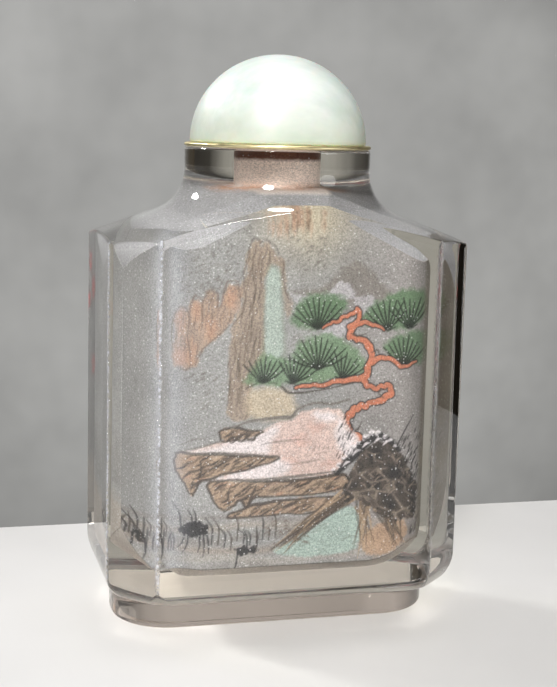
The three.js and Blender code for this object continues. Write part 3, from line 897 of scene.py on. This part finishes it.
# The ledges: a blushing table of rock with white tongues, over hatched brown faces. A few grey
# strokes and a row of small marks lie on it.
front.wash(
    [(-16.2, 26.0), (-13.2, 27.0), (-9.8, 27.9), (-5.2, 29.0), (-2.6, 30.3), (-0.4, 30.6),
     (0.8, 31.6), (3.6, 31.9), (6.4, 31.6), (7.4, 29.4), (9.2, 27.6), (8.0, 25.6), (5.6, 22.9),
     (1.4, 22.3), (-5.8, 22.2), (-11.6, 22.4), (-7.6, 23.4), (-4.0, 24.4), (-2.4, 25.2),
     (-9.2, 25.9)],
    BLUSH, 0.95, 0.3, 0.2, 51,
)
for outline in [
    [(-16.0, 26.1), (-9.8, 27.5), (-4.6, 29.1), (-2.4, 29.8), (-3.6, 27.4), (-4.4, 25.9),
     (-9.2, 26.0)],
    [(-11.4, 22.5), (-7.4, 23.5), (-2.4, 25.0), (-0.4, 24.2), (-2.4, 22.6), (-6, 22.3)],
    [(6.2, 30.6), (7.4, 29.2), (8.8, 27.6), (7.6, 25.6), (6.0, 26.6), (5.6, 28.6)],
    [(2.4, 31.6), (5.4, 31.4), (5.8, 30.0), (3.0, 30.4)],
]:
    front.wash(outline, WHITE, 0.8, 0.8, 0.4, 52)
for x, z, size in [(0.6, 27.4, 1.3), (3.0, 29.4, 1.0), (4.8, 24.2, 1.2), (-0.6, 24.8, 0.9)]:
    front.wash(oval(x, z, size, size * 0.6, 7), (0.56, 0.32, 0.27), 0.35, 0.9, 0.8, 54)
faces = [
    ([(-10.8, 29.1), (-9.2, 29.7), (-6.8, 29.3), (-4.6, 29.0), (-6.2, 28.2), (-8.4, 27.9),
      (-10.0, 27.8)], 20),
    ([(-16.9, 25.4), (-16.2, 26.1), (-13.1, 26.1), (-8.0, 25.8), (-2.4, 25.3), (-4.8, 24.3),
      (-8.4, 23.4), (-13.0, 22.5), (-13.8, 21.2), (-14.5, 20.4), (-15.4, 22.0), (-16.7, 23.6)], 60),
    ([(-12.0, 22.3), (-5.9, 22.0), (1.3, 22.1), (7.2, 22.5), (7.4, 20.6), (1.4, 19.8), (-5.4, 19.8),
      (-6.6, 18.5), (-7.8, 19.5), (-9.0, 18.4), (-10.3, 18.2), (-11.4, 19.8)], 80),
    ([(-9.4, 17.2), (-5.9, 18.6), (-1.0, 19.3), (3.9, 19.4), (6.8, 19.0), (3.9, 17.6),
      (-3.4, 17.1)], 40),
]
sunlit, shaded = (RUST, TAN, (0.42, 0.33, 0.26)), (SEPIA, UMBER, SEPIA)
for outline, hatches in faces:
    front.wash(outline, (0.33, 0.235, 0.17), 0.9, 0.25, 0.2, 53)
    hatch(front, outline, hatches // 3, (1.3, 0.45), (0.2, 0.5, 0.2), sunlit, 0.7, hatches)
    hatch(front, outline, hatches, (1.5, 0.8), (0.12, 0.34, 0.1), shaded, 0.95, hatches + 1)
    edge = gnarled(outline, 0.1, hatches, closed=True)
    front.stroke(np.concatenate([edge, edge[:1]]), (0.24, 0.5, 0.22, 0.44, 0.2, 0.4), SEPIA, 0.92)
for line in [[(-13.6, 22.4), (-13.2, 24.2), (-13.4, 25.4)], [(-14.6, 21.2), (-14.2, 22.6)],
             [(-9.2, 18.6), (-9.4, 20.4), (-9.0, 21.6)], [(-6.6, 18.8), (-5.8, 20.6), (-5.4, 21.6)],
             [(-15.8, 22.6), (-14.8, 23.6), (-13.6, 24.0)]]:
    front.stroke(line, (0.16, 0.4, 0.12), SEPIA, 0.8)
for line, widths, strength in [
    ([(-9.2, 29.6), (-6.4, 30.5), (-2.4, 30.9), (-0.6, 31.0), (0.2, 32.0), (2.6, 32.8), (5.2, 32.6),
      (7.6, 33.2)],
     (0.2, 0.45, 0.5, 0.3, 0.42, 0.3), 0.9),
    ([(-16.4, 26.4), (-12.6, 27.3), (-10.0, 28.0)], (0.12, 0.32, 0.12), 0.75),
    ([(-16.2, 27.3), (-14.2, 28.2), (-12.8, 28.3)], (0.1, 0.25, 0.1), 0.65),
    ([(-15.4, 26.2), (-9.4, 26.1), (-2.4, 25.5)], (0.2, 0.5, 0.3, 0.14), 0.85),
    ([(-11.4, 22.5), (-5.4, 22.2), (1.0, 22.6), (5.6, 23.0)], (0.2, 0.5, 0.4, 0.2), 0.9),
    ([(-4.8, 27.2), (-1.8, 27.6), (1.4, 27.8)], (0.1, 0.36, 0.12), 0.55),
    ([(-1.4, 24.2), (1.6, 24.5), (4.2, 24.9)], (0.1, 0.36, 0.12), 0.55),
    ([(2.8, 25.6), (4.0, 25.8), (5.0, 25.9)], (0.1, 0.2, 0.1), 0.4),
]:
    front.stroke(line, widths, SLATE, strength)
MARK_START, MARK_PITCH, MARK_LEVEL = 2.0, 0.66, 26.2
for k in range(6):
    x = MARK_START + MARK_PITCH * k
    front.stroke([(x, MARK_LEVEL), (x + 0.16, MARK_LEVEL + 0.5)], (0.12, 0.18, 0.1), SLATE, 0.7)

# Water in front of the ledges, with ripples, and the sandy bank beside it.
pool = [(-2.8, 11.9), (0.6, 13.9), (3.4, 15.6), (6.6, 17.7), (8.7, 17.8), (10.0, 15.4), (9.6, 12.8),
        (8.4, 11.4), (2.4, 11.0)]
front.wash(pool, WATER, 0.95, 0.35, 0.25, 61)
hatch(front, pool, 10, (2.2, 0.5), (0.1, 0.3, 0.08), ((0.20, 0.24, 0.22),), 0.55, 62)
front.wash([(10.0, 12.0), (10.8, 14.0), (12.8, 15.2), (16.4, 15.6), (16.4, 13.0), (14.2, 10.9),
            (11.6, 10.6)],
           (0.40, 0.27, 0.19), 0.85, 0.5, 0.4, 63)

# Roots and streams of rock that run down from the dark rock on both sides.
for x, z, end_x, end_z, count in [
    (8.2, 19.4, -1.6, 12.8, 26), (10.4, 18.4, 10.4, 11.8, 16), (12.6, 17.4, 15.8, 12.4, 20),
]:
    for _ in range(count):
        near_end = (end_x + draw.normal(0, 0.9), end_z + draw.normal(0, 0.7))
        start = (x + draw.normal(0, 0.8), z + draw.normal(0, 0.5))
        middle_x = (start[0] + near_end[0]) / 2 + draw.normal(0, 0.3)
        middle = (middle_x, (start[1] + near_end[1]) / 2 + 0.4)
        colour = (SEPIA, UMBER, (0.34, 0.25, 0.18), SEPIA)[int(draw.integers(4))]
        front.stroke([start, middle, near_end], (0.4, 0.3, 0.08), colour, draw.uniform(0.5, 0.95))

# The dark rock: a dark brown mass, with paler cracks between slanting cells, patches of ink and
# short crossing strokes. White foam curls along its top over an ink line.
rock = [(7.4, 20.0), (8.0, 22.4), (8.8, 24.4), (10.1, 26.2), (12.4, 27.2), (14.8, 26.0),
        (16.8, 23.2), (18.1, 19.6), (17.8, 16.2), (15.6, 15.4), (13.4, 16.0), (11.0, 17.8)]
front.wash(rock, SEPIA, 0.97, 0.25, 0.5, 71)
where = front.near(curve(rock, closed=True), 0.0)
CELLS = 40
seeds = np.stack([draw.uniform(6.5, 19, CELLS), draw.uniform(14.5, 28.0, CELLS)], 1)
stretch_x, stretch_z = front.x[where, None] - seeds[:, 0], front.z[where, None] - seeds[:, 1]
gaps = np.sort(np.hypot(stretch_x + 0.5 * stretch_z, 1.35 * stretch_z), axis=1)
crack = np.clip(1 - (gaps[:, 1] - gaps[:, 0]) / 0.5, 0, 1)
dark = front.colour[where].mean(1) < 0.08
crack *= np.clip(1.8 * front.cloud(1.4, 72, where) - 0.3, 0, 1)
front.lay(where, 0.7 * crack * dark, (0.33, 0.275, 0.235))
ink_side = np.clip(front.cloud(1.1, 73, where) * 2 - 0.8, 0, 1) * dark * (1 - crack)
front.lay(where, ink_side * 0.85, INK)
hatch(front, rock, 26, (1.2, 1.0), (0.1, 0.24, 0.08), ((0.30, 0.24, 0.20), INK), 0.6, 74)
hatch(front, rock, 26, (1.2, -1.2), (0.1, 0.26, 0.08), ((0.26, 0.21, 0.18), INK), 0.6, 75)
foam = [(5.6, 23.2), (6.4, 24.0), (7.0, 24.8), (7.8, 25.5), (8.4, 26.4), (9.2, 27.1), (10.0, 27.8),
        (11.0, 28.3), (12.0, 28.3), (13.0, 27.8), (13.9, 27.2), (14.6, 26.3)]
front.stroke(np.array(foam) + (0.45, -0.55), (0.6, 1.5, 1.3, 0.6), INK, 0.95, 0.3)
for x, z in foam:
    size = draw.uniform(0.3, 0.62)
    front.wash(oval(x, z, size, size * 0.75, 7), WHITE, 0.9, 0.2, 0.35, int(x * 9))
    front.stroke([(x - size * 0.8, z - 0.05), (x + 0.1, z - size * 0.7), (x + size, z + 0.1)],
                 (0.1, 0.3, 0.1), INK, 0.8)
for x, z in [(7.4, 24.0), (8.8, 25.6), (10.2, 26.6), (11.9, 27.2), (13.2, 26.8)]:
    front.stroke([(x - 0.5, z - 0.3), (x, z + 0.2), (x + 0.5, z + 0.3)], (0.12, 0.4, 0.12), WHITE,
                 0.8)

# Grass: dark ticks and stems beside the rock and round the ledge's end.
for x, z in scatter([
    (14.6, 18.8, 21, 28.2, 60), (17.0, 19.0, 13.2, 21, 34), (5.6, 8.2, 24.6, 30.6, 30),
]):
    front.stroke([(x, z), (x + 0.3, z + 0.7)], (0.14, 0.2, 0.08), INK, 0.8)
front.stroke([(14.8, 26.4), (15.8, 28.4), (17.1, 30.6)], (0.24, 0.2, 0.1), INK, 0.9)

# Wet black stones and reeds at the lower left, and short ripples on the bank in the middle.
for x, z, wide, high, legs in [
    (-14.1, 15.7, 2.2, 0.95, 8), (-6.6, 12.3, 1.6, 0.75, 3), (-19.3, 13.6, 0.8, 0.7, 2),
]:
    front.wash(oval(x, z, wide, high, 9), INK, 0.95, 0.25, 0.7, int(20 - x))
    for side in np.linspace(-1, 1, legs):
        way = 1 if draw.random() < 0.5 else -1
        reach = draw.uniform(2.4, 4.0)
        front.stroke([(x + side * wide * 0.8, z), (x + side * wide * 0.95, z + way * reach * 0.6),
                      (x + side * wide * 1.2 - 0.5, z + way * reach)], (0.28, 0.24, 0.1), INK, 0.9)
for x in np.concatenate([np.linspace(-21.4, -17.0, 13), np.linspace(-11.6, -2.6, 11)]):
    foot_z = draw.uniform(11.8, 14.4)
    height = draw.uniform(1.8, 4.2)
    lean = draw.uniform(-1.0, 0.5)
    front.stroke([(x, foot_z), (x + 0.1, foot_z + height * 0.6), (x + lean, foot_z + height)],
                 (0.2, 0.26, 0.12), INK if draw.random() < 0.5 else SEPIA, 0.85)
for x, z in scatter([(-4.6, 1.6, 12.6, 16.4, 26)]):
    front.stroke([(x, z), (x + 0.4, z + 0.2), (x + 0.8, z - 0.1)], (0.1, 0.26, 0.12), UMBER, 0.65)

# The picture stops where the wall turns away at the right, and the ground there is painted dark
# brown: a painted dark reflection. At the left end, where the wall turns, a bluish-white band is a
# painted highlight.
WALL_TURNS = 10.2
TURN_BLEND = 1.2
LEFT_HIGHLIGHT_DEPTH = 9.6
LEFT_HIGHLIGHT_SPREAD = 1.7


def paint_end_dark_reflection(picture, depth, at_end):
    """Paints the ground dark brown at one end, from the depth where the wall turns away, as a
    painted dark reflection.
    """
    turned = np.clip((depth + WALL_TURNS) / TURN_BLEND, 0, 1) * at_end
    picture.lay(everywhere, turned * (0.6 + 0.4 * picture.cloud(3.0, 48)), END_REFLECTION_BROWN)


depth = front_grid[..., 1].ravel() * MM
# The right end is painted dark brown, a painted dark reflection.
paint_end_dark_reflection(front, depth, front.x > 0)
# A painted highlight: a bluish-white band where the wall turns away at the left end.
left_end_highlight = np.exp(-(((depth + LEFT_HIGHLIGHT_DEPTH) / LEFT_HIGHLIGHT_SPREAD) ** 2)) * (front.x < 0)
front.lay(everywhere, 0.26 * left_end_highlight, (0.56, 0.60, 0.72))
finish_veneer(front_piece, front, "front_painting_on_ground_glass")


# The back painting: red plum blossom on an old branch over a rock. It is laid on the back wall from
# inside, as the front one is, and is seen from behind.
back_piece, back_grid = veneer("back_painting", 110, 34, 190, -1)
back = Picture(-back_grid[..., 0] * MM, back_grid[..., 2] * MM, GROUND)
back.colour *= (1.0 + 0.28 * back.cloud(6.0, 82))[:, None]
back.wash([(-20, 26), (-14, 30), (-9, 27), (-3, 29), (4, 26), (12, 28), (20, 25), (20, 20),
           (-20, 20)],
          SLATE, 0.35, 2.5, 1.5, 83)
back.wash([(-20, 19), (-8, 17.5), (4, 18.5), (20, 17), (20, 9.5), (-20, 9.5)], (0.40, 0.35, 0.31),
          0.6, 2.0, 1.0, 84)
back.wash([(-17, 12), (-16.6, 17), (-14.4, 20.6), (-11, 22), (-8, 19.6), (-6.2, 15.4), (-5.6, 12)],
          SEPIA, 0.95, 0.4, 0.9, 85)
for x, z in scatter([(-15.4, -7, 12.6, 20, 26)]):
    back.stroke([(x, z), (x + 0.6, z + 0.9), (x + 1.5, z + 1.1)], (0.1, 0.4, 0.1),
                (0.42, 0.36, 0.31), 0.6)
plum = [(-13.4, 19.6), (-11.6, 24.4), (-7.2, 28.0), (-5.6, 33.0), (-1.4, 36.6), (1.6, 41.6),
        (6.6, 44.4), (11.6, 48.6)]
twigs = [
    [(-7.2, 28.0), (-2.0, 28.6), (3.8, 31.8), (9.6, 31.4)],
    [(-1.4, 36.6), (-6.4, 40.6), (-8.2, 45.4)], [(6.6, 44.4), (11.4, 42.2), (15.2, 43.0)],
    [(-11.6, 24.4), (-15.4, 29.2), (-16.0, 34.6)], [(1.6, 41.6), (0.6, 46.4), (2.6, 50.6)],
    [(-5.6, 33.0), (-10.6, 35.6), (-13.0, 39.6)],
]
for line, widths in [(plum, (2.2, 1.6, 1.1, 0.5))] + [(twig, (0.8, 0.5, 0.25)) for twig in twigs]:
    back.stroke(line, np.array(widths) + 0.35, INK, 0.9, 0.25)
    back.stroke(line, widths, (0.24, 0.16, 0.12), 0.9, 0.25)
PETALS = 5
PETAL_RED = (0.62, 0.035, 0.05)
HEART_GOLD = (0.86, 0.62, 0.16)
for line in [plum[3:]] + twigs:
    for x, z in curve(line)[3::4]:
        x, z = x + draw.uniform(-1.3, 1.3), z + draw.uniform(-1.3, 1.3)
        size = draw.uniform(0.72, 1.1)
        start = draw.uniform(0, 2)
        for k in range(PETALS):
            turn = start + 2 * math.pi * k / PETALS
            petal_x, petal_z = x + size * math.cos(turn), z + size * math.sin(turn)
            back.stroke([(petal_x - 0.1, petal_z), (petal_x + 0.1, petal_z)],
                        (size, size * 1.25, size), PETAL_RED, 0.9, 0.3)
        back.stroke([(x - 0.05, z), (x + 0.05, z)], (0.4, 0.5, 0.4), HEART_GOLD, 0.9, 0.2)
# The back wall's right end gets the same painted dark reflection.
paint_end_dark_reflection(back, -back_grid[..., 1].ravel() * MM, back.x < 0)
finish_veneer(back_piece, back, "back_painting_on_ground_glass")


# The cork: a short plug cut from brown cork, with its lower edge just broken. It is glued under the
# gilt disc and all but fills the bore.
cork_low, cork_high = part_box("stopper_cork")
CORK_CHAMFER = 0.0003
CORK_BROWN = (0.27, 0.085, 0.05, 1)
CORK_TAN = (0.40, 0.15, 0.09, 1)
CORK_PORE = (0.12, 0.04, 0.03, 1)


def lathe_rows(profile, around):
    """Loops of a profile of radius and height, turned round the upright axis."""
    angle = np.linspace(0, 2 * math.pi, around, endpoint=False)
    radius, z = np.array(profile).T
    x, y = radius[:, None] * np.cos(angle), radius[:, None] * np.sin(angle)
    return np.stack([x, y, np.broadcast_to(z[:, None], x.shape)], -1)


cork_radius = cork_high[0]
cork_profile = [
    (cork_radius * 0.6, cork_low[2]), (cork_radius - CORK_CHAMFER, cork_low[2]),
    (cork_radius, cork_low[2] + CORK_CHAMFER), (cork_radius, (cork_low[2] + cork_high[2]) / 2),
    (cork_radius, cork_high[2]), (cork_radius * 0.6, cork_high[2]),
]
cork = closed_grid("cork_plug", lathe_rows(cork_profile, 72), (0, 0, cork_low[2]),
                   (0, 0, cork_high[2]))
cork.data.set_sharp_from_angle(angle=math.radians(40))
cork_finish = Finish("brown_cork", Roughness=0.85)
pores = cork_finish.ramp(cork_finish.noise(1500, 5, 0.7), 0.35, 0.7)
warm = cork_finish.ramp(cork_finish.noise(350, 2), 0.3, 0.7)
cork_colour = cork_finish.mix(warm, CORK_BROWN, CORK_TAN)
cork_finish.feed("Base Color", cork_finish.mix(pores * 0.7, cork_colour, CORK_PORE))
cork_finish.bump(pores, 0.6, 0.0002)
cork.data.materials.append(cork_finish.material)
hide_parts("stopper_cork")
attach(cork, "root")


# The collar: a thin gilt metal disc with a half-round rim. It rests on the neck's lip, between the
# cork below and the cabochon above, and its gilding is a little worn.
collar_low, collar_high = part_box("stopper_collar")
collar_radius = collar_high[0]
rim = (collar_high[2] - collar_low[2]) / 2
RIM_STEPS = 9
FRESH_GILT = (0.93, 0.83, 0.50, 1)
WORN_GILT = (0.66, 0.52, 0.26, 1)
rim_turn = np.linspace(-math.pi / 2, math.pi / 2, RIM_STEPS)
collar_profile = [(collar_radius * 0.5, collar_low[2])] + [
    (collar_radius - rim + rim * math.cos(turn), collar_low[2] + rim + rim * math.sin(turn))
    for turn in rim_turn
] + [(collar_radius * 0.5, collar_high[2])]
collar = closed_grid(
    "gilt_collar", lathe_rows(collar_profile, 192), (0, 0, collar_low[2]), (0, 0, collar_high[2])
)
gilt = Finish("worn_gilding", Metallic=1.0, Roughness=0.25)
tarnish = gilt.ramp(gilt.noise(500, 4, 0.6), 0.45, 0.75)
gilt.feed("Base Color", gilt.mix(tarnish * 0.6, FRESH_GILT, WORN_GILT))
gilt.feed("Roughness", gilt.ramp(gilt.noise(900, 3), 0.3, 0.7, 0.3, 0.5))
gilt.bump(gilt.noise(1800, 2), 0.06, 0.00005)
collar.data.materials.append(gilt.material)
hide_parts("stopper_collar")
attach(collar, "root")


# The cabochon: a dome of pale green-white stone, sawn flat below, polished and glued on the collar.
# Milky clouds lie in it, long and faint, and it yellows a little towards its rim.
dome_low, dome_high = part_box("stopper_dome")
dome_radius = dome_high[0]
dome_height = dome_high[2] - dome_low[2]
DOME_STEPS = 48
BASE_BREAK = 0.0002
STONE_GREEN = (0.56, 0.64, 0.59, 1)
STONE_PALE = (0.70, 0.755, 0.715, 1)
STONE_WHITE = (0.82, 0.85, 0.82, 1)
STONE_YELLOW = (0.60, 0.62, 0.44, 1)
dome_turn = np.linspace(0, math.pi / 2, DOME_STEPS)[:-1]
dome_profile = [(dome_radius * 0.6, dome_low[2]), (dome_radius - BASE_BREAK, dome_low[2])] + [
    (dome_radius * math.cos(turn),
     dome_low[2] + BASE_BREAK + (dome_height - BASE_BREAK) * math.sin(turn))
    for turn in dome_turn
]
dome = closed_grid(
    "stone_cabochon", lathe_rows(dome_profile, 160), (0, 0, dome_low[2]), (0, 0, dome_high[2])
)
stone = Finish(
    "pale_green_stone", Roughness=0.42, IOR=1.45, Subsurface_Weight=0.35, Subsurface_Scale=0.004,
    Coat_Weight=0.12, Coat_Roughness=0.12,
)
stretched = stone.add("Mapping", {}, {
    "Vector": stone.place, "Rotation": (0.5, 0.2, 0.9), "Scale": (60.0, 190.0, 130.0)})
drift = stone.ramp(stone.noise(1.0, 4, 0.6, stretched), 0.36, 0.66)
veil = stone.ramp(stone.noise(2.7, 3, 0.6, stretched), 0.45, 0.8)
up = stone.add("SeparateXYZ", {}, {0: stone.place}, "Z")
rim_yellow = stone.ramp(up, dome_high[2] - 0.006, dome_low[2])
milky = stone.mix(drift, STONE_GREEN, STONE_PALE)
milky = stone.mix(veil * 0.5, milky, STONE_WHITE)
milky = stone.mix(rim_yellow * 0.45, milky, STONE_YELLOW)
stone.feed("Base Color", milky)
stone.bump(stone.noise(300, 3), 0.03, 0.0002)
dome.data.materials.append(stone.material)
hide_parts("stopper_dome")
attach(dome, "root")


# The stage: a plain pale table top, and behind it a grey wall that glows with a painted pool of
# light, brightest at the right and fading to dark.
# The table lies a hair below the foot, so the two faces never meet.
TABLE_DROP = 0.00004
TABLE_BACK = 0.045
WALL_DISTANCE = 0.34
STAGE_SIZE = 1.4
TABLE_WHITE = (0.70, 0.69, 0.68)
WALL_GREY = (0.10, 0.10, 0.10)


def stage_plane(name, corners, colour):
    """A flat sheet on its four corners, with a faint cloudiness in its colour."""
    mesh = bpy.data.meshes.new(name)
    mesh.from_pydata(corners, [], [(0, 1, 2, 3)])
    sheet = bpy.data.objects.new(name, mesh)
    scene.collection.objects.link(sheet)
    finish = Finish(name, Roughness=0.6)
    shade = finish.ramp(finish.noise(30, 2), 0.3, 0.7)
    darker = tuple(c * 0.93 for c in colour)
    finish.feed("Base Color", finish.mix(shade, (*darker, 1), (*colour, 1)))
    sheet.data.materials.append(finish.material)
    return finish


wide = STAGE_SIZE / 2
stage_plane("table", [(-wide, -wide, -TABLE_DROP), (wide, -wide, -TABLE_DROP),
                      (wide, TABLE_BACK, -TABLE_DROP), (-wide, TABLE_BACK, -TABLE_DROP)],
            TABLE_WHITE)
wall = stage_plane("wall", [(-wide, WALL_DISTANCE, -wide), (wide, WALL_DISTANCE, -wide),
                            (wide, WALL_DISTANCE, wide), (-wide, WALL_DISTANCE, wide)], WALL_GREY)
# The wall's glow is a painted pool of light round this centre, fading to dark away from it.
LIGHT_POOL_CENTRE = (0.09, WALL_DISTANCE, 0.03)
offset = wall.add("VectorMath", {"operation": "DISTANCE"}, {0: wall.place, 1: LIGHT_POOL_CENTRE}, "Value")
cloth = wall.ramp(wall.noise(22, 3, 0.6), 0.3, 0.7, 0.82, 1.12)
painted_light_pool = wall.ramp(offset, 0.27, 0.12, 0.008, 0.30) * cloth
wall.feed("Emission Color", wall.add("CombineColor", {}, {0: painted_light_pool, 1: painted_light_pool, 2: painted_light_pool * 0.97}))
wall.shader.inputs["Emission Strength"].default_value = 1.0

# The light: a bright lamp at the upper left in front, weaker ones at the right, above and behind,
# and a dim warm room.
world = bpy.data.worlds.new("room")
world.use_nodes = True
world.node_tree.nodes["Background"].inputs["Color"].default_value = (0.64, 0.53, 0.38, 1)
world.node_tree.nodes["Background"].inputs["Strength"].default_value = 0.08
scene.world = world
scene.view_settings.view_transform = "Standard"


def soft_box(name, place, aim, size, power):
    """A round lamp that stands at a place and shines at its aim."""
    lamp = bpy.data.lights.new(name, "AREA")
    lamp.shape = "DISK"
    lamp.size = size
    lamp.energy = power
    light = bpy.data.objects.new(name, lamp)
    light.location = place
    light.rotation_mode = "QUATERNION"
    light.rotation_quaternion = (Vector(aim) - Vector(place)).to_track_quat("-Z", "Y")
    scene.collection.objects.link(light)


soft_box("key", (-0.16, -0.34, 0.30), (0, 0, 0.04), 0.09, 2.0)
soft_box("fill", (0.35, -0.30, 0.16), (0, 0, 0.04), 0.20, 0.35)
soft_box("above", (0.02, 0.02, 0.40), (0, 0, 0.05), 0.08, 0.5)
soft_box("rear", (-0.24, 0.25, 0.28), (0, 0, 0.04), 0.06, 0.8)
